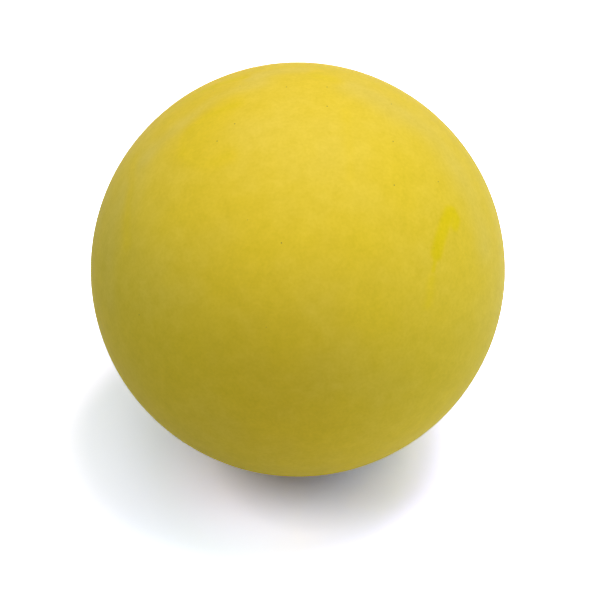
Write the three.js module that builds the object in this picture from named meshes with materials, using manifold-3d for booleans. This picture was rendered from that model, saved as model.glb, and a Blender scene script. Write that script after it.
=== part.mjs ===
// A lacrosse ball, in millimetres, with +Z up and the origin at the ball's centre.
// A solid rubber core sits inside a cover of yellow rubber. The cover is two half shells, which meet at
// the parting plane of the mould that they were pressed in. The plane leans, as the ball happens to lie.

import * as THREE from "three";
import { mergeVertices } from "three/addons/utils/BufferGeometryUtils.js";
import Module from "manifold-3d";

// Driving dimensions
const ballDiameter = 63.5; // 199.5 round the ball, where the rules allow 196.9 to 203.2
const coverThickness = 4.5; // wall of the yellow cover
const bondGap = 0.3; // between the core and the cover, where the rubber cement lies
const partingGap = 0.3; // between the two half shells
const partingTilt = 42; // degrees that the parting plane leans back from upright

// The rest patch: the ball's own weight presses this much of it flat on a hard floor
const restRadius = 1.7;

// The seam: a fine V where the flash was trimmed off the parting line
const seamWidth = 1.0;
const seamDepth = 0.2;

// The core's witness ring, which its own mould left round its middle
const witnessWidth = 1.4;
const witnessHeight = 0.1;

// Facets round the ball's axis, and from its middle to either end
const coverFacets = { round: 72, quarter: 18 };
const coreFacets = { round: 48, quarter: 12 };

const cutOverrun = 2; // how far every cutter runs past what it cuts

const ballRadius = ballDiameter / 2;
const cavityRadius = ballRadius - coverThickness;
const coreRadius = cavityRadius - bondGap;

const wasm = await Module();
wasm.setup();

// Turns a closed three.js geometry into a solid that can be cut and joined.
function solidFrom(geometry) {
  const bare = geometry.clone();
  bare.deleteAttribute("normal");
  bare.deleteAttribute("uv");
  const merged = mergeVertices(bare);
  return new wasm.Manifold(
    new wasm.Mesh({
      numProp: 3,
      vertProperties: merged.attributes.position.array,
      triVerts: new Uint32Array(merged.index.array),
    }),
  );
}

// Turns a solid back into a three.js geometry with flat faces.
function geometryFrom(solid) {
  const mesh = solid.getMesh();
  const indexed = new THREE.BufferGeometry();
  indexed.setAttribute("position", new THREE.BufferAttribute(mesh.vertProperties, mesh.numProp));
  indexed.setIndex(new THREE.BufferAttribute(mesh.triVerts, 1));
  const geometry = indexed.toNonIndexed();
  geometry.computeVertexNormals();
  return geometry;
}

// Points on an arc about the origin, from one angle above the XY plane to another.
function arc(radius, from, to, steps) {
  return Array.from({ length: steps + 1 }, (_, i) => {
    const angle = THREE.MathUtils.lerp(from, to, i / steps);
    return new THREE.Vector2(radius * Math.cos(angle), radius * Math.sin(angle));
  });
}

// Turns a profile about the Z axis.
function turned(profile, round) {
  return new THREE.LatheGeometry(profile, round).rotateX(Math.PI / 2);
}

// A ball with a round flat foot under it. Its two arcs share a ring of points round its middle.
function footedBall(radius, footRadius, facets) {
  const footAngle = -Math.acos(footRadius / radius);
  const lower = arc(radius, footAngle, 0, facets.quarter);
  const upper = arc(radius, 0, Math.PI / 2, facets.quarter);
  const footCentre = new THREE.Vector2(0, lower[0].y);
  return turned([footCentre, ...lower, ...upper.slice(1)], facets.round);
}

// A round ball.
function plainBall(radius, facets) {
  return turned(arc(radius, -Math.PI / 2, Math.PI / 2, 2 * facets.quarter), facets.round);
}

// The mould's axis is the cover's local Z, and this turns it to face forward and up.
const mouldTurn = new THREE.Matrix4().makeRotationX(THREE.MathUtils.degToRad(90 - partingTilt));

// Everything on one side of the parting plane: 1 is the front, -1 the rear.
function mouldSide(side) {
  const size = ballDiameter + 2 * cutOverrun;
  const block = new THREE.BoxGeometry(size, size, size);
  block.translate(0, 0, (side * (size + partingGap)) / 2);
  return solidFrom(block.applyMatrix4(mouldTurn));
}

// The ring that cuts the seam's V. Its sides keep their slope as they run on past the surface.
function seamCutter() {
  const slope = seamWidth / 2 / seamDepth;
  const halfMouth = slope * (seamDepth + cutOverrun);
  const profile = [
    new THREE.Vector2(ballRadius - seamDepth, 0),
    new THREE.Vector2(ballRadius + cutOverrun, -halfMouth),
    new THREE.Vector2(ballRadius + cutOverrun, halfMouth),
    new THREE.Vector2(ballRadius - seamDepth, 0),
  ];
  return solidFrom(turned(profile, coverFacets.round).applyMatrix4(mouldTurn));
}

// The whole cover before it is parted.
function cover() {
  const outside = solidFrom(footedBall(ballRadius, restRadius, coverFacets));
  const cavity = solidFrom(plainBall(cavityRadius, coreFacets));
  return outside.subtract(cavity).subtract(seamCutter());
}

// The core, with its witness ring standing proud round its middle.
function core() {
  const ringAngle = Math.asin(witnessWidth / 2 / coreRadius);
  const ringRadius = coreRadius + witnessHeight;
  const profile = [
    ...arc(coreRadius, -Math.PI / 2, -ringAngle, coreFacets.quarter),
    ...arc(ringRadius, -ringAngle, ringAngle, 1),
    ...arc(coreRadius, ringAngle, Math.PI / 2, coreFacets.quarter),
  ];
  return turned(profile, coreFacets.round);
}

const yellowRubber = new THREE.MeshStandardMaterial({ color: 0xe3c52e, roughness: 0.6, metalness: 0 });
const coreRubber = new THREE.MeshStandardMaterial({ color: 0x8a7b5c, roughness: 0.85, metalness: 0 });

const ball = new THREE.Group();

function addPiece(name, geometry, material) {
  const piece = new THREE.Mesh(geometry, material);
  piece.name = name;
  ball.add(piece);
}

const wholeCover = cover();
addPiece("front_half_shell", geometryFrom(wholeCover.intersect(mouldSide(1))), yellowRubber);
addPiece("rear_half_shell", geometryFrom(wholeCover.intersect(mouldSide(-1))), yellowRubber);
addPiece("rubber_core", core(), coreRubber);

export default ball;
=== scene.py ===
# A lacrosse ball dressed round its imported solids: two half shells of yellow rubber on a plain core.
# All lengths are in metres. The ball's centre is the origin and +Z is up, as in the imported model.

import math

import bpy
import numpy as np
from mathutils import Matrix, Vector


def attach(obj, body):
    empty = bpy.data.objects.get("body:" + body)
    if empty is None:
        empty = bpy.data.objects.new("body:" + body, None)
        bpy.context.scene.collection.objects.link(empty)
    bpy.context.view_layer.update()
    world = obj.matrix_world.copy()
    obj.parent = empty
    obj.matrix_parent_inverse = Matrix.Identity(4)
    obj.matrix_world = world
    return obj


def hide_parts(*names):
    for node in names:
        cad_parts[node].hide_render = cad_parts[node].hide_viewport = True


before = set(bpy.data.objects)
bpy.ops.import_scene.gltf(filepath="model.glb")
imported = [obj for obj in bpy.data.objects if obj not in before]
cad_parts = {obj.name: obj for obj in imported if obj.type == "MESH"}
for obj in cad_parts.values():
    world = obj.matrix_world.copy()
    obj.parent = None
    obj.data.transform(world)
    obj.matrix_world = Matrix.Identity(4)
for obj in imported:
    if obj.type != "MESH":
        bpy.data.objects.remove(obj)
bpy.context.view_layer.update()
print("frame loaded:", ", ".join(sorted(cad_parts)))

mm = 0.001

ball = {
    "radius": 31.75 * mm,
    "coverWall": 4.5 * mm,
    "bondGap": 0.3 * mm,  # between the core and the cover
    "partingTilt": 42,  # degrees that the parting plane leans back from upright
    "restRadius": 1.7 * mm,  # of the patch that the ball's own weight presses flat
}
cavityRadius = ball["radius"] - ball["coverWall"]
floorHeight = -math.sqrt(ball["radius"] ** 2 - ball["restRadius"] ** 2)

# The mould's own directions: across and up in the parting plane, and out along the axis towards the camera.
tilt = math.radians(ball["partingTilt"])
mouldAcross = np.array([1.0, 0.0, 0.0])
mouldUp = np.array([0.0, math.sin(tilt), math.cos(tilt)])
mouldOut = np.array([0.0, -math.cos(tilt), math.sin(tilt)])


# Grids and rings. A surface is a list of arrays of points, and its points are numbered through the list.

# A square becomes a disc: a point's distance from the middle is the larger of its two shares, and its angle
# runs evenly along each side of its square.
def roundFromSquare(across, up):
    wide = np.abs(across) >= np.abs(up)
    reach = np.where(wide, across, up)
    other = np.where(wide, up, across)
    share = np.divide(other, reach, out=np.zeros_like(reach), where=reach != 0)
    angle = np.where(wide, share, 2 - share) * math.pi / 4
    return reach * np.cos(angle), reach * np.sin(angle)


# Directions over a cap about +Z. The angle from the pole is twice the arcsine of the distance on the disc
# times the sine of half the cap's angle, so every cell of the grid covers the same area.
def capDirections(cells, capAngle):
    share = np.linspace(-1, 1, cells + 1)
    across, up = np.meshgrid(share, share)
    x, y = roundFromSquare(across, up)
    away = np.hypot(x, y)
    angle = 2 * np.arcsin(away * math.sin(capAngle / 2))
    widen = np.sin(angle) / np.where(away > 0, away, 1)
    return np.stack([x * widen, y * widen, np.cos(angle)], -1).reshape(-1, 3)


# Points on a circle about +Z at a height, in step with the points on the border of a cap's grid.
def ringPoints(count, radius, height):
    angle = (np.arange(count) / count - 1 / 8) * 2 * math.pi
    return np.stack([radius * np.cos(angle), radius * np.sin(angle), np.full(count, height)], -1)


# The same circle where it lies on a ball of a given radius.
def ballRing(count, radius, height):
    return ringPoints(count, math.sqrt(radius**2 - height**2), height)


# Adds points to a surface and gives back their numbers.
def addPoints(surface, points):
    start = sum(len(part) for part in surface)
    surface.append(points)
    return np.arange(start, start + len(points))


# The border of a grid's points, anticlockwise from the corner at the lower right.
def borderOf(points):
    side = math.isqrt(len(points))
    grid = points.reshape(side, side)
    return np.concatenate([grid[:-1, -1], grid[-1, :0:-1], grid[:0:-1, 0], grid[0, :-1]])


def gridFaces(points):
    side = math.isqrt(len(points))
    grid = points.reshape(side, side)
    return np.stack([grid[:-1, :-1], grid[:-1, 1:], grid[1:, 1:], grid[1:, :-1]], -1).reshape(-1, 4)


# One row of faces between each ring and the next, which has as many points.
def stripFaces(rings):
    strips = []
    for ring, following in zip(rings[:-1], rings[1:]):
        strips.append(np.stack([ring, following, np.roll(following, -1), np.roll(ring, -1)], -1))
    return np.concatenate(strips)


# Triangles from a ring to one with half as many points.
def halvingFaces(fine, coarse):
    even = fine[::2]
    odd = fine[1::2]
    first = np.stack([even, coarse, odd], -1)
    middle = np.stack([odd, coarse, np.roll(coarse, -1)], -1)
    last = np.stack([odd, np.roll(coarse, -1), np.roll(even, -1)], -1)
    return np.concatenate([first, middle, last])


sharpAngle = 40  # degrees between faces, past which an edge of any piece shows sharp


# Puts a surface with its quads and triangles into a new smooth object at the origin.
def meshObject(name, surface, quads, triangles):
    places = np.concatenate(surface)
    corners = np.concatenate([part.ravel() for part in [*quads, *triangles]])
    sizes = np.repeat([4, 3], [sum(map(len, quads)), sum(map(len, triangles))])
    mesh = bpy.data.meshes.new(name)
    mesh.vertices.add(len(places))
    mesh.vertices.foreach_set("co", places.astype(np.float32).ravel())
    mesh.loops.add(len(corners))
    mesh.loops.foreach_set("vertex_index", corners.astype(np.int32))
    mesh.polygons.add(len(sizes))
    mesh.polygons.foreach_set("loop_start", (np.cumsum(sizes) - sizes).astype(np.int32))
    mesh.polygons.foreach_set("use_smooth", np.ones(len(sizes), bool))
    mesh.update(calc_edges=True)
    mesh.set_sharp_from_angle(angle=math.radians(sharpAngle))
    piece = bpy.data.objects.new(name, mesh)
    bpy.context.scene.collection.objects.link(piece)
    return piece


# Keeps one value for each point, and nothing for the points that come after.
def addField(piece, name, values):
    field = piece.data.attributes.new(name, "FLOAT", "POINT")
    whole = np.zeros(len(piece.data.vertices), np.float32)
    whole[: len(values)] = values
    field.data.foreach_set("value", whole)


def unitVectors(draw, count):
    heading = draw.normal(size=(count, 3))
    return heading / np.linalg.norm(heading, axis=1, keepdims=True)


# A smooth step from 1 at no distance to 0 at the full width.
def fadeOut(distance, width):
    share = np.clip(1 - distance / width, 0, 1)
    return share * share * (3 - 2 * share)


unevenSpread = 0.3  # standard deviation of the slow unevenness about its middle


# Slow unevenness over a ball: sine waves in random directions, added up, brought to a middle of one half with
# that spread, and held between 0 and 1.
def unevenness(draw, directions, radius, waves, wavelengths):
    headings = unitVectors(draw, waves)
    lengths = draw.uniform(*wavelengths, waves)
    starts = draw.uniform(0, 2 * math.pi, waves)
    total = np.zeros(len(directions))
    for heading, length, start in zip(headings, lengths, starts):
        total += np.sin(directions @ heading * radius * 2 * math.pi / length + start)
    return np.clip(0.5 + unevenSpread * total / math.sqrt(waves / 2), 0, 1)


# Surface of the cover

relief = {
    "seed": 11,
    "waves": 28,
    "wavelengths": (8 * mm, 34 * mm),
    "swell": 0.024 * mm,  # how far the slow unevenness goes in from the true ball
    "dents": 26,
    "dentRadii": (0.9 * mm, 2.6 * mm),
    "dentDepths": (0.006 * mm, 0.022 * mm),
    "footClear": 7 * mm,  # round the rest patch, where the ball is true
}
seam = {
    "depth": 0.2 * mm,
    "halfWidth": 0.5 * mm,  # of the V
    "power": 1.4,  # of the V's sides, which hollow in a little
    "bandHalfWidth": 1.9 * mm,  # of the strip that was buffed when the flash came off
    "bandDepth": 0.03 * mm,
    "halfGap": 0.01 * mm,  # from the parting plane to each half
}


# How far the surface lies below the true ball in each direction: the slow unevenness, and dents that each
# add a bell of their own depth and radius, all fading out towards the rest patch.
def reliefDepth(directions):
    draw = np.random.default_rng(relief["seed"])
    slow = unevenness(draw, directions, ball["radius"], relief["waves"], relief["wavelengths"])
    depth = relief["swell"] * slow
    middles = unitVectors(draw, relief["dents"])
    radii = draw.uniform(*relief["dentRadii"], relief["dents"])
    depths = draw.uniform(*relief["dentDepths"], relief["dents"])
    for middle, radius, deep in zip(middles, radii, depths):
        away = np.linalg.norm(directions - middle, axis=1) * ball["radius"]
        depth += deep * np.exp(-((away / radius) ** 2))
    fromFoot = np.linalg.norm(directions + [0, 0, 1], axis=1) * ball["radius"]
    return depth * (1 - fadeOut(fromFoot, relief["footClear"]))


# The outside of the cover: the true ball, less the relief, the strip buffed along the seam and the seam's V.
# What would lie below the floor is pressed flat onto it.
def coverPlaces(directions):
    fromSeam = np.abs(directions @ mouldOut) * ball["radius"]
    band = fadeOut(fromSeam, seam["bandHalfWidth"])
    notch = np.clip(1 - fromSeam / seam["halfWidth"], 0, 1) ** seam["power"]
    depth = reliefDepth(directions) * (1 - band)
    depth += seam["bandDepth"] * band
    depth += (seam["depth"] - seam["bandDepth"]) * notch
    places = directions * (ball["radius"] - depth)[:, None]
    places[:, 2] = np.maximum(places[:, 2], floorHeight)
    return places


# Marks in the bloom, the pale film that comes out of the rubber. Some of the thick marks are painted light:
# the pale sheen along the ball's outline and a broad pale highlight on top. Their points are millimetres
# across and up on the ball's face, seen from outside the front half along the mould's axis, and so are their
# half widths.
# A mark with a higher edge power has a crisper edge.

rubbedMarks = {
    "topLeftPatch": {
        "points": [(-11.2, 18.3), (-14.6, 18.4), (-13.4, 21.2), (-10.9, 25.0)],
        "halfWidth": 3.1,
        "edgePower": 4,
        "strength": 0.18,
    },
    "hook": {
        "points": [(-9.2, 24.7), (-11.6, 23.9), (-13.9, 22.8), (-15.9, 21.3), (-17.1, 19.6), (-17.3, 17.6)],
        "halfWidth": 0.9,
        "edgePower": 2,
        "strength": 0.27,
    },
    "hookFoot": {
        "points": [(-17.0, 17.0), (-15.9, 16.0), (-14.0, 15.6), (-12.0, 15.9), (-10.3, 16.7)],
        "halfWidth": 1.4,
        "edgePower": 2,
        "strength": 0.25,
    },
    "topLeft": {
        "points": [(-19.4, 24.2), (-15.1, 26.7), (-10.8, 28.4), (-8.0, 29.1)],
        "halfWidth": 0.8,
        "edgePower": 2,
        "strength": 0.7,
    },
    "topMiddle": {
        "points": [(2.8, 29.3), (4.4, 28.9), (5.6, 28.5)],
        "halfWidth": 1.3,
        "edgePower": 2,
        "strength": 0.35,
    },
    "topRightLine": {
        "points": [(7.2, 23.5), (7.7, 13.5)],
        "halfWidth": 0.9,
        "edgePower": 2,
        "strength": 0.15,
    },
    "leftEdge": {
        "points": [(-24.8, 16.6), (-24.9, 13.0), (-25.7, 6.0), (-25.6, 4.0)],
        "halfWidth": 1.2,
        "edgePower": 2,
        "strength": 0.3,
    },
    "flameBody": {
        "points": [(22.6, 8.4), (21.8, 6.6), (21.1, 4.4), (20.6, 2.4)],
        "halfWidth": 1.15,
        "edgePower": 5,
        "strength": 1.0,
    },
    "flameLobe": {
        "points": [(23.1, 8.7), (23.7, 7.5), (23.4, 6.5)],
        "halfWidth": 0.9,
        "edgePower": 4,
        "strength": 0.95,
    },
    "flameTail": {
        "points": [(20.4, 1.8), (20.1, -0.2)],
        "halfWidth": 0.35,
        "edgePower": 3,
        "strength": 0.8,
    },
    "flameFoot": {
        "points": [(19.9, -1.4), (19.7, -2.2)],
        "halfWidth": 0.75,
        "edgePower": 2,
        "strength": 0.5,
    },
    "flameDrip": {
        "points": [(19.7, -3.6), (19.3, -5.2)],
        "halfWidth": 0.8,
        "edgePower": 2,
        "strength": 0.45,
    },
}
thickBloomAndPaintedSheenMarks = {
    # Partly bloom and partly painted sheen along the outline.
    "topLeftBand": {
        "points": [(-22.4, 17.2), (-19.9, 19.8), (-17.1, 22.1), (-13.7, 24.5), (-10.2, 26.5), (-5.7, 28.2)],
        "halfWidth": 2.0,
        "edgePower": 2,
        "strength": 0.55,
    },
    # Partly bloom and partly painted sheen along the outline.
    "topSpot": {
        "points": [(-7.0, 29.0), (-3.5, 29.9), (0.6, 30.2)],
        "halfWidth": 1.8,
        "edgePower": 3,
        "strength": 0.6,
    },
    "topRight": {
        "points": [(8.2, 27.0), (12.0, 25.2), (15.2, 23.2)],
        "halfWidth": 3.0,
        "edgePower": 4,
        "strength": 0.2,
    },
    # Painted highlight: a broad pale patch where the light from above falls brightest.
    "topPaintedHighlight": {
        "points": [(-4.0, 21.0), (2.0, 17.0)],
        "halfWidth": 9.0,
        "edgePower": 2,
        "strength": 0.42,
    },
    "left": {
        "points": [(-24.5, 12.5), (-24.2, 4.0), (-22.8, -5.0)],
        "halfWidth": 5.0,
        "edgePower": 2,
        "strength": 0.25,
    },
    # Painted sheen along the left of the outline.
    "rimLeftPaintedSheen": {
        "points": [(-28.2, -5.0), (-28.3, 4.0), (-26.6, 11.0), (-23.4, 17.6)],
        "halfWidth": 3.2,
        "edgePower": 2,
        "strength": 0.4,
    },
    # Painted sheen along the top right of the outline.
    "rimRightPaintedSheen": {
        "points": [(9.0, 27.6), (12.0, 26.1), (17.6, 22.5), (22.7, 17.1), (26.2, 10.8), (28.1, 4.0)],
        "halfWidth": 3.4,
        "edgePower": 2,
        "strength": 0.55,
    },
}
scuffs = {
    "seed": 5,
    "count": 15,
    "lengths": (4 * mm, 15 * mm),
    "halfWidths": (0.4 * mm, 1.5 * mm),
    "strengths": (0.3, 0.9),
    "edgePower": 3,
    "bends": (-0.9, 0.9),  # sideways at the ends, as a share of the length
    "points": 7,
    "frontLimit": 0.25,  # no scuff has its middle where the direction's share towards the camera is over this
}


# Closeness to a chain of straight pieces: 1 on it, and beside it the exponential of minus the distance over
# the half width, raised to the edge's power.
def strokeShare(places, points, halfWidth, edgePower):
    nearest = np.full(len(places), np.inf)
    for start, end in zip(points[:-1], points[1:]):
        run = end - start
        along = np.clip((places - start) @ run / (run @ run), 0, 1)
        nearest = np.minimum(nearest, np.linalg.norm(places - start - along[:, None] * run, axis=1))
    return np.exp(-((nearest / halfWidth) ** edgePower))


# Points given across and up on the face, lifted onto the ball.
def liftedPoints(points):
    flat = np.array(points) * mm
    out = np.sqrt(ball["radius"] ** 2 - (flat**2).sum(axis=1, keepdims=True))
    return flat[:, :1] * mouldAcross + flat[:, 1:] * mouldUp + out * mouldOut


def markShare(places, mark):
    return strokeShare(places, liftedPoints(mark["points"]), mark["halfWidth"] * mm, mark["edgePower"])


# Arcs on the sides that the photograph doesn't show. Each runs through a random place in a random heading,
# and moves sideways with the square of the way along it.
def scuffStrokes():
    draw = np.random.default_rng(scuffs["seed"])
    share = np.linspace(-0.5, 0.5, scuffs["points"])[:, None]
    strokes = []
    while len(strokes) < scuffs["count"]:
        middle, side = unitVectors(draw, 2)
        length = draw.uniform(*scuffs["lengths"])
        bend = draw.uniform(*scuffs["bends"])
        halfWidth = draw.uniform(*scuffs["halfWidths"])
        strength = draw.uniform(*scuffs["strengths"])
        if middle @ mouldOut > scuffs["frontLimit"]:
            continue
        heading = np.cross(middle, side)
        heading /= np.linalg.norm(heading)
        sideways = np.cross(middle, heading)
        points = middle * ball["radius"] + (heading * share + sideways * bend * share**2) * length
        points *= ball["radius"] / np.linalg.norm(points, axis=1, keepdims=True)
        strokes.append((points, halfWidth, strength))
    return strokes


evenBloom = 0.5  # how thick the bloom lies in its even coat


# How pale the coat is: 0 where the bloom is rubbed off, and up to 1 where the bloom is thickest and where a
# pale sheen along the outline and a pale highlight on top are painted.
def bloomAndSheenThickness(places):
    bloomAndSheen = np.full(len(places), evenBloom)
    for mark in thickBloomAndPaintedSheenMarks.values():
        bloomAndSheen += (1 - evenBloom) * mark["strength"] * markShare(places, mark)
    for mark in rubbedMarks.values():
        bloomAndSheen *= 1 - mark["strength"] * markShare(places, mark)
    for points, halfWidth, strength in scuffStrokes():
        bloomAndSheen *= 1 - strength * strokeShare(places, points, halfWidth, scuffs["edgePower"])
    return np.clip(bloomAndSheen, 0, 1)


# Half shells

halfShell = {
    "cells": 256,  # along each side of the square grid over the outside
    "gridEdge": 2.6 * mm,  # height of the grid's border over the parting plane
    "bandRings": 12,  # from there down into the seam
    "bandPower": 1.7,  # how fast these rings crowd together towards the seam
    "rimShares": (0.3, 0.7),  # of the way across the rim, where its rings lie
    "cavityRings": 4,
    "cavityEdge": 4.0 * mm,  # height of the border of the cavity's grid
}


# One half of the cover as one closed surface: a grid over the outside, rings down into the seam, the flat rim
# across the wall, and a coarser grid over the cavity. Side is 1 for the front half and -1 for the rear one.
def makeHalfShell(name, side):
    turn = np.stack([side * mouldAcross, mouldUp, side * mouldOut])
    cells = halfShell["cells"]
    count = 4 * cells
    gap = seam["halfGap"]
    surface = []

    gridAngle = math.acos(halfShell["gridEdge"] / ball["radius"])
    outsideGrid = addPoints(surface, coverPlaces(capDirections(cells, gridAngle) @ turn))
    rings = [borderOf(outsideGrid)]
    shares = np.linspace(1, 0, halfShell["bandRings"] + 1)[1:]
    for height in gap + (halfShell["gridEdge"] - gap) * shares ** halfShell["bandPower"]:
        directions = ballRing(count, ball["radius"], height) @ turn / ball["radius"]
        rings.append(addPoints(surface, coverPlaces(directions)))
    outside = np.concatenate(surface)

    lipRadius = ball["radius"] - seam["depth"]
    for share in halfShell["rimShares"]:
        rimRadius = lipRadius + (cavityRadius - lipRadius) * share
        rings.append(addPoints(surface, ringPoints(count, rimRadius, gap) @ turn))
    cavityRings = []
    for height in np.linspace(gap, halfShell["cavityEdge"], halfShell["cavityRings"] + 1)[:-1]:
        cavityRings.append(addPoints(surface, ballRing(count // 2, cavityRadius, height) @ turn))
    cavityAngle = math.acos(halfShell["cavityEdge"] / cavityRadius)
    cavityGrid = addPoints(surface, capDirections(cells // 2, cavityAngle) @ turn * cavityRadius)
    cavityRings.append(borderOf(cavityGrid))

    quads = [gridFaces(outsideGrid), stripFaces(rings)]
    quads += [stripFaces(cavityRings), gridFaces(cavityGrid)[:, ::-1]]
    piece = meshObject(name, surface, quads, [halvingFaces(rings[-1], cavityRings[0])])
    fromSeam = np.abs(outside @ mouldOut)
    # The bloom's thickness, which also holds the painted sheen and the painted highlight.
    addField(piece, "bloomAndSheen", bloomAndSheenThickness(outside))
    addField(piece, "buffed", fadeOut(fromSeam, seam["bandHalfWidth"]))
    addField(piece, "groove", fadeOut(fromSeam, seam["halfWidth"]))
    addField(piece, "outside", np.ones(len(outside)))
    return piece


# Core

core = {
    "seed": 23,
    "radius": cavityRadius - ball["bondGap"],
    "witnessHalfWidth": 0.7 * mm,  # of the ring that the core's own mould left round its middle
    "witnessHeight": 0.1 * mm,
    "witnessEdge": 0.12 * mm,  # width over which the ring rises
    "waves": 36,
    "wavelengths": (3 * mm, 16 * mm),
    "swell": 0.06 * mm,
    "cells": 120,
    "gridEdge": 1.6 * mm,
    "bandRings": 24,
}


# 1 on the witness ring, stepping smoothly down to 0 over its edge.
def witnessShare(fromMiddle):
    return fadeOut(np.maximum(fromMiddle - core["witnessHalfWidth"], 0), core["witnessEdge"])


# The core's surface: its ball, less a slow unevenness, with the witness ring standing proud round its middle.
def corePlaces(directions):
    draw = np.random.default_rng(core["seed"])
    slow = unevenness(draw, directions, core["radius"], core["waves"], core["wavelengths"])
    ring = witnessShare(np.abs(directions[:, 2]) * core["radius"])
    radius = core["radius"] - core["swell"] * slow * (1 - ring) + core["witnessHeight"] * ring
    return directions * radius[:, None]


# The core as one closed surface: a grid over its top, rings past its middle, and the same grid below.
def makeCore():
    surface = []
    edge = core["gridEdge"]
    topDirections = capDirections(core["cells"], math.acos(edge / core["radius"]))
    topGrid = addPoints(surface, corePlaces(topDirections))
    rings = [borderOf(topGrid)]
    for height in np.linspace(edge, -edge, core["bandRings"] + 1)[1:-1]:
        directions = ballRing(4 * core["cells"], core["radius"], height) / core["radius"]
        rings.append(addPoints(surface, corePlaces(directions)))
    bottomGrid = addPoints(surface, corePlaces(topDirections * [1, 1, -1]))
    rings.append(borderOf(bottomGrid))
    quads = [gridFaces(topGrid), stripFaces(rings), gridFaces(bottomGrid)[:, ::-1]]
    piece = meshObject("rubberCore", surface, quads, [])
    addField(piece, "witness", witnessShare(np.abs(np.concatenate(surface)[:, 2])))
    return piece


frontHalfShell = makeHalfShell("frontHalfShell", 1)
rearHalfShell = makeHalfShell("rearHalfShell", -1)
print("half shells made:", len(frontHalfShell.data.vertices), "points each")
rubberCore = makeCore()
print("core made:", len(rubberCore.data.vertices), "points")


# Materials. Textures are scaled by the size of their grain, because Object coordinates are metres.

noiseSpan = (0.3, 0.7)  # where nearly all of a noise texture's values lie


# A node with its settings, and its inputs given by name or number as sockets to link or as plain values.
def addNode(tree, kind, settings=None, inputs=None):
    node = tree.nodes.new("ShaderNode" + kind)
    for name, value in (settings or {}).items():
        setattr(node, name, value)
    for name, value in (inputs or {}).items():
        if isinstance(value, bpy.types.NodeSocket):
            tree.links.new(value, node.inputs[name])
        else:
            node.inputs[name].default_value = value
    return node


def field(tree, name):
    return addNode(tree, "Attribute", {"attribute_name": name}).outputs["Fac"]


def noise(tree, place, grain, detail, roughness=0.5):
    inputs = {"Vector": place, "Scale": 1 / grain, "Detail": detail, "Roughness": roughness}
    return addNode(tree, "TexNoise", None, inputs).outputs[0]


def calculate(tree, operation, *values):
    return addNode(tree, "Math", {"operation": operation}, dict(enumerate(values))).outputs[0]


# A value carried from one range to another, held inside the second.
def remap(tree, value, low, high, newLow, newHigh):
    inputs = {0: value, 1: low, 2: high, 3: newLow, 4: newHigh}
    return addNode(tree, "MapRange", None, inputs).outputs[0]


def mixColour(tree, share, first, second, blend="MIX"):
    settings = {"data_type": "RGBA", "blend_type": blend}
    return addNode(tree, "Mix", settings, {0: share, 6: first, 7: second}).outputs[2]


# The colour for a value, going in straight lines from each stop to the next.
def colourStops(tree, value, stops):
    (reached, colour), *further = stops.items()
    for stop, following in further:
        colour = mixColour(tree, remap(tree, value, reached, stop, 0.0, 1.0), colour, following)
        reached = stop
    return colour


def distanceTo(tree, place, point):
    return addNode(tree, "VectorMath", {"operation": "DISTANCE"}, {0: place, 1: point}).outputs["Value"]


def newMaterial(name):
    material = bpy.data.materials.new(name)
    material.use_nodes = True
    material.node_tree.nodes.clear()
    return material, material.node_tree


def finishMaterial(tree, inputs):
    shader = addNode(tree, "BsdfPrincipled", None, inputs)
    addNode(tree, "OutputMaterial", None, {"Surface": shader.outputs[0]})


yellowLook = {
    "rubbed": (0.80, 0.61, 0, 1),  # where the bloom is gone
    "even": (0.82, 0.61, 0.035, 1),  # under the even coat of bloom
    "thickBloomAndSheen": (0.80, 0.62, 0.095, 1),  # where the bloom is thickest, and the painted sheen and highlight
    "groove": (0.60, 0.44, 0.03, 1),  # darker yellow at the bottom of the seam
    "cement": (0.42, 0.30, 0.06, 1),  # dried cement on the rim and in the cavity
    "speck": (0.30, 0.22, 0.04, 1),
    "cloudGrain": 11 * mm,  # of the bloom's slow clouds
    "cloudSwing": 0.09,
    "mottleGrain": 2.4 * mm,
    "mottleSwing": 0.038,  # of the brightness, up and down
    "fineGrain": 0.5 * mm,
    "fineSwing": 0.03,
    "grainBloom": 1.4,  # how much thicker the bloom lies on the brighter grains
    "roughness": (0.60, 0.76),  # rubbed, thickest bloom
    "cementRoughness": 0.85,
    "specular": 0.05,
    "sheen": 0.09,
    "sheenRoughness": 0.5,
    "sheenTint": (1.0, 1.0, 1.0, 1),
    "orangePeelGrain": 1.5 * mm,
    "orangePeelHeight": 0.010 * mm,
    "fineHeight": 0.012 * mm,
    "buffedBloom": 0.25,  # how much paler the strip along the seam is, as a share of the bloom
    "speckCell": 5.0 * mm,  # one random speck in each cell, of which few lie at the surface
    "speckRadius": 0.13 * mm,
    "speckCore": 0.065 * mm,  # inside which a speck has its full colour
    # Specks that the photograph shows, in millimetres across and up on the face.
    "speckPlaces": [
        (14.1, 24.9),
        (14.2, 19.1),
        (-1.7, 27.4),
        (4.4, 27.4),
        (-2.4, 3.9),
        (-12.0, 19.1),
        (-9.4, 21.7),
    ],
}


# 1 inside a speck, 0 outside: the distance to the nearest random middle, or to one of the specks that the
# photograph shows, under the speck's radius.
def speckMask(tree, place):
    look = yellowLook
    settings = {"voronoi_dimensions": "3D", "feature": "F1"}
    cells = addNode(tree, "TexVoronoi", settings, {"Vector": place, "Scale": 1 / look["speckCell"]})
    nearest = calculate(tree, "MULTIPLY", cells.outputs["Distance"], look["speckCell"])
    for middle in liftedPoints(look["speckPlaces"]):
        nearest = calculate(tree, "MINIMUM", nearest, distanceTo(tree, place, tuple(middle)))
    return remap(tree, nearest, look["speckCore"], look["speckRadius"], 1.0, 0.0)
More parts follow.
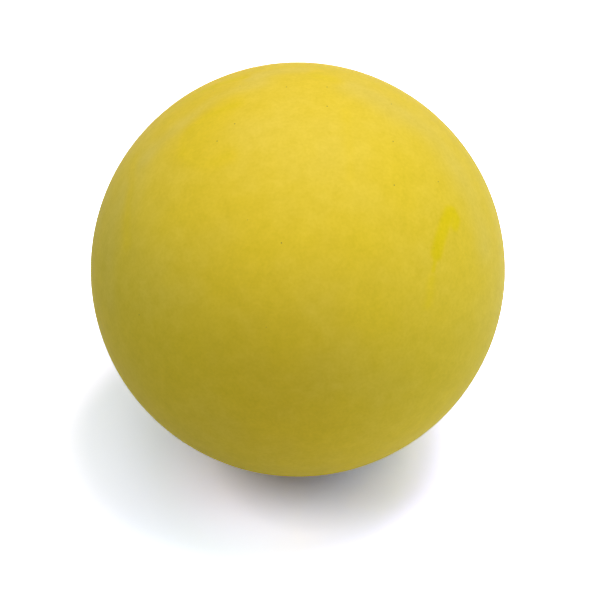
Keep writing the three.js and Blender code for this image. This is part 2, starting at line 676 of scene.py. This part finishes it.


# Yellow rubber: a deep colour under a film of bloom, which is paler, duller and bluer the thicker it lies.
# The same paler colour paints a sheen along the outline and a highlight on top.
def makeYellowRubber():
    look = yellowLook
    material, tree = newMaterial("yellowRubber")
    place = addNode(tree, "TexCoord").outputs["Object"]
    outside = field(tree, "outside")
    buffed = field(tree, "buffed")

    cloud = noise(tree, place, look["cloudGrain"], detail=3.0)
    cloud = remap(tree, cloud, *noiseSpan, -look["cloudSwing"], look["cloudSwing"])
    # The bloom field also holds the painted sheen along the outline and the painted highlight on top.
    bloomAndSheen = calculate(tree, "ADD", field(tree, "bloomAndSheen"), cloud)
    bloomAndSheen = calculate(tree, "ADD", bloomAndSheen, calculate(tree, "MULTIPLY", buffed, look["buffedBloom"]))
    mottle = noise(tree, place, look["mottleGrain"], detail=5.0, roughness=0.6)
    fine = noise(tree, place, look["fineGrain"], detail=2.0)
    mottleValue = remap(tree, mottle, *noiseSpan, 1 - look["mottleSwing"], 1 + look["mottleSwing"])
    fineValue = remap(tree, fine, *noiseSpan, 1 - look["fineSwing"], 1 + look["fineSwing"])
    brightness = calculate(tree, "MULTIPLY", mottleValue, fineValue)
    overEven = calculate(tree, "SUBTRACT", brightness, 1.0)
    bloomAndSheen = calculate(tree, "MULTIPLY_ADD", overEven, look["grainBloom"], bloomAndSheen)

    upToEven = remap(tree, bloomAndSheen, 0.0, evenBloom, 0.0, 1.0)
    pastEven = remap(tree, bloomAndSheen, evenBloom, 1.0, 0.0, 1.0)
    colour = mixColour(tree, upToEven, look["rubbed"], look["even"])
    colour = mixColour(tree, pastEven, colour, look["thickBloomAndSheen"])
    colour = addNode(tree, "HueSaturation", None, {"Color": colour, "Value": brightness}).outputs[0]
    colour = mixColour(tree, speckMask(tree, place), colour, look["speck"])
    colour = mixColour(tree, field(tree, "groove"), colour, look["groove"])
    colour = mixColour(tree, outside, look["cement"], colour)

    roughness = remap(tree, bloomAndSheen, 0.0, 1.0, *look["roughness"])
    roughness = addNode(tree, "Mix", None, {0: outside, 2: look["cementRoughness"], 3: roughness}).outputs[0]
    peel = noise(tree, place, look["orangePeelGrain"], detail=2.0)
    peelBump = addNode(tree, "Bump", None, {"Height": peel, "Distance": look["orangePeelHeight"]})
    inputs = {"Height": fine, "Distance": look["fineHeight"], "Normal": peelBump.outputs[0]}
    fineBump = addNode(tree, "Bump", None, inputs)
    finishMaterial(
        tree,
        {
            "Base Color": colour,
            "Roughness": roughness,
            "Normal": fineBump.outputs[0],
            "Specular IOR Level": look["specular"],
            "Sheen Weight": look["sheen"],
            "Sheen Roughness": look["sheenRoughness"],
            "Sheen Tint": look["sheenTint"],
        },
    )
    return material


coreLook = {
    "dark": (0.20, 0.165, 0.105, 1),
    "light": (0.34, 0.285, 0.18, 1),
    "witness": (0.40, 0.34, 0.22, 1),
    "patchGrain": 5 * mm,
    "patchSpan": (0.35, 0.65),  # of the noise, from the darkest patches to the lightest
    "crumbShare": 0.35,  # of the shade that each crumb has of its own, where the rest is its patch's
    "crumbGrain": 0.9 * mm,
    "crumbCell": 1.6 * mm,
    "strokeGrain": 0.25 * mm,  # of the buffing strokes, which run round the core
    "strokeStretch": 14,
    "roughness": (0.75, 0.95),
    "crumbHeight": 0.05 * mm,
    "strokeHeight": 0.02 * mm,
}


# Core rubber: plain compound of mixed batches in soft patches, with coarse crumbs and fine buffing strokes.
def makeCoreRubber():
    look = coreLook
    material, tree = newMaterial("coreRubber")
    place = addNode(tree, "TexCoord").outputs["Object"]
    patch = noise(tree, place, look["patchGrain"], detail=4.0, roughness=0.6)
    crumb = noise(tree, place, look["crumbGrain"], detail=3.0)
    stretched = addNode(tree, "Mapping", None, {"Vector": place, "Scale": (1, 1, look["strokeStretch"])})
    stroke = noise(tree, stretched.outputs[0], look["strokeGrain"] * look["strokeStretch"], detail=2.0)
    cells = addNode(tree, "TexVoronoi", None, {"Vector": place, "Scale": 1 / look["crumbCell"]})
    crumbShade = addNode(tree, "SeparateColor", None, {0: cells.outputs["Color"]}).outputs[0]
    patchShade = remap(tree, patch, *look["patchSpan"], 0.0, 1 - look["crumbShare"])
    share = calculate(tree, "MULTIPLY_ADD", crumbShade, look["crumbShare"], patchShade)
    colour = mixColour(tree, share, look["dark"], look["light"])
    colour = mixColour(tree, field(tree, "witness"), colour, look["witness"])
    crumbBump = addNode(tree, "Bump", None, {"Height": crumb, "Distance": look["crumbHeight"]})
    inputs = {"Height": stroke, "Distance": look["strokeHeight"], "Normal": crumbBump.outputs[0]}
    strokeBump = addNode(tree, "Bump", None, inputs)
    finishMaterial(
        tree,
        {
            "Base Color": colour,
            "Roughness": remap(tree, crumb, *noiseSpan, *look["roughness"]),
            "Normal": strokeBump.outputs[0],
        },
    )
    return material


yellowRubber = makeYellowRubber()
frontHalfShell.data.materials.append(yellowRubber)
rearHalfShell.data.materials.append(yellowRubber)
rubberCore.data.materials.append(makeCoreRubber())
print("materials made")

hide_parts("front_half_shell")
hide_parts("rear_half_shell")
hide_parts("rubber_core")
for piece in (frontHalfShell, rearHalfShell, rubberCore):
    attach(piece, "root")


# Floor, world and lamps. Azimuth 0 is the camera's side of the ball and 90 its right.

floor = {
    "size": 1.4,  # past its edge lies the white of the world
    # The light that it throws on the ball, by the distance to the right of the ball's foot, and a tint on top
    # of that by the distance from the foot.
    "lightColours": {-50 * mm: (0.35, 0.35, 0.35, 1), 50 * mm: (0.80, 0.80, 0.80, 1)},
    "lightTints": {30 * mm: (1.0, 1.1, 0.9, 1), 60 * mm: (1, 1, 1, 1)},
    # What the camera sees, by the distance from the middle of the shadow. It is overexposed to white, as in
    # the photograph, and balanced so that the shadow is grey, because the tinted lamps and the ball's own
    # yellow light would colour it. Close under the ball it is darker: a painted contact shadow on top of the
    # real one.
    "seenColours": {
        8 * mm: (1.1, 1.0, 1.7, 1),
        20 * mm: (2.3, 2.1, 2.8, 1),
        30 * mm: (2.1, 2.0, 2.3, 1),
        60 * mm: (2.6, 2.4, 2.4, 1),
    },
    "seenMiddle": (2 * mm, -6 * mm),
    "sideStretch": 1.25,  # how much more a distance counts sideways
    # A tint on top of that, by the distance to the right: darker on the left, which paints the shadow's left
    # end darker, and bluer on the right.
    "seenTints": {-25 * mm: (0.85, 0.9, 1, 1), 0: (1, 1, 1, 1), 25 * mm: (0.9, 1, 1.3, 1)},
}


# 1 for what is seen straight, in a glossy surface or through a clear one, and 0 for the light on things.
def seenShare(tree):
    path = addNode(tree, "LightPath")
    share = calculate(tree, "MAXIMUM", path.outputs["Is Camera Ray"], path.outputs["Is Glossy Ray"])
    return calculate(tree, "MAXIMUM", share, path.outputs["Is Transmission Ray"])


def makeFloor():
    half = floor["size"] / 2
    corners = [(-half, -half), (half, -half), (half, half), (-half, half)]
    mesh = bpy.data.meshes.new("floorSheet")
    mesh.from_pydata([(x, y, floorHeight) for x, y in corners], [], [(0, 1, 2, 3)])
    sheet = bpy.data.objects.new("floorSheet", mesh)
    bpy.context.scene.collection.objects.link(sheet)
    material, tree = newMaterial("whitePaper")
    place = addNode(tree, "TexCoord").outputs["Object"]
    right = addNode(tree, "SeparateXYZ", None, {0: place}).outputs[0]
    fromFoot = distanceTo(tree, place, (0, 0, floorHeight))
    lightTint = colourStops(tree, fromFoot, floor["lightTints"])
    light = mixColour(tree, 1.0, colourStops(tree, right, floor["lightColours"]), lightTint, "MULTIPLY")
    stretch = {0: place, 1: (floor["sideStretch"], 1, 1)}
    stretched = addNode(tree, "VectorMath", {"operation": "MULTIPLY"}, stretch).outputs["Vector"]
    middleRight, middleUp = floor["seenMiddle"]
    fromMiddle = distanceTo(tree, stretched, (middleRight * floor["sideStretch"], middleUp, floorHeight))
    seenTint = colourStops(tree, right, floor["seenTints"])
    seen = mixColour(tree, 1.0, colourStops(tree, fromMiddle, floor["seenColours"]), seenTint, "MULTIPLY")
    colour = mixColour(tree, seenShare(tree), light, seen)
    paper = addNode(tree, "BsdfDiffuse", None, {"Color": colour})
    addNode(tree, "OutputMaterial", None, {"Surface": paper.outputs[0]})
    mesh.materials.append(material)


worldLook = {
    "strength": 0.02,
    "colour": (0.9, 0.97, 1.0, 1),
}


def makeWorld():
    world = bpy.data.worlds.new("studio")
    bpy.context.scene.world = world
    world.use_nodes = True
    tree = world.node_tree
    tree.nodes.clear()
    dim = addNode(tree, "Background", None, {"Color": worldLook["colour"], "Strength": worldLook["strength"]})
    white = addNode(tree, "Background", None, {"Color": (1, 1, 1, 1), "Strength": 1.0})
    mixed = addNode(tree, "MixShader", None, {0: seenShare(tree), 1: dim.outputs[0], 2: white.outputs[0]})
    addNode(tree, "OutputWorld", None, {"Surface": mixed.outputs[0]})


lamps = {
    "overhead": {"azimuth": 120, "elevation": 75, "size": 0.5, "power": 4.0, "colour": (1, 0.9, 0.85)},
    "rearRight": {"azimuth": 135, "elevation": 60, "size": 0.5, "power": 2.5, "colour": (1, 0.85, 0.9)},
    "leftSky": {"azimuth": -90, "elevation": 60, "size": 1.2, "power": 4.2, "colour": (0.95, 1, 0.95)},
    "leftSide": {"azimuth": -90, "elevation": 25, "size": 0.5, "power": 1.0, "colour": (0.7, 1, 1)},
    "rightSide": {"azimuth": 90, "elevation": 25, "size": 0.5, "power": 2.0, "colour": (0.6, 1, 0.9)},
    "frontRight": {"azimuth": 35, "elevation": 40, "size": 0.9, "power": 1.4, "colour": (1, 1, 1)},
    "front": {"azimuth": 0, "elevation": 10, "size": 0.3, "power": 0.7, "colour": (1, 1, 0.75)},
}
lampDistance = 1.0


# A direction from its azimuth and elevation in degrees.
def headingOf(azimuth, elevation):
    turn = math.radians(azimuth)
    rise = math.radians(elevation)
    return Vector((math.sin(turn) * math.cos(rise), -math.cos(turn) * math.cos(rise), math.sin(rise)))


# Puts a lamp or camera out along a heading, looking back at the ball.
def placeFacing(thing, heading, distance):
    thing.location = heading * distance
    thing.rotation_euler = (-heading).to_track_quat("-Z", "Y").to_euler()
    bpy.context.scene.collection.objects.link(thing)


def makeLamp(name, lamp):
    light = bpy.data.lights.new(name, "AREA")
    light.shape = "DISK"
    light.size = lamp["size"]
    light.energy = lamp["power"]
    light.color = lamp["colour"]
    thing = bpy.data.objects.new(name, light)
    placeFacing(thing, headingOf(lamp["azimuth"], lamp["elevation"]), lampDistance)


# Camera. The ball's outline has to fall where it lies in the photograph.

camera = {
    "azimuth": 0,
    "elevation": 42,
    "distance": 0.75,
    "pictureSide": 600,  # pixels, as are the next two
    "ballRadius": 207.4,
    "ballMiddle": (297.8, 269.5),
    "sensor": 36,  # millimetres
}


# The lens follows from the outline's angle: the edge of the picture is as much further out from the ball's
# middle as half the picture is wider than the ball's radius on it.
def makeCamera():
    outline = math.tan(math.asin(ball["radius"] / camera["distance"]))
    halfSide = camera["pictureSide"] / 2
    pictureEdge = outline * halfSide / camera["ballRadius"]
    lens = bpy.data.cameras.new("camera")
    lens.sensor_width = camera["sensor"]
    lens.lens = camera["sensor"] / 2 / pictureEdge
    lens.shift_x = (halfSide - camera["ballMiddle"][0]) / camera["pictureSide"]
    lens.shift_y = (camera["ballMiddle"][1] - halfSide) / camera["pictureSide"]
    thing = bpy.data.objects.new("camera", lens)
    placeFacing(thing, headingOf(camera["azimuth"], camera["elevation"]), camera["distance"])
    bpy.context.scene.camera = thing


makeFloor()
makeWorld()
for name, lamp in lamps.items():
    makeLamp(name, lamp)
makeCamera()
bpy.context.scene.view_settings.view_transform = "Standard"
print("floor, world, lamps and camera made")
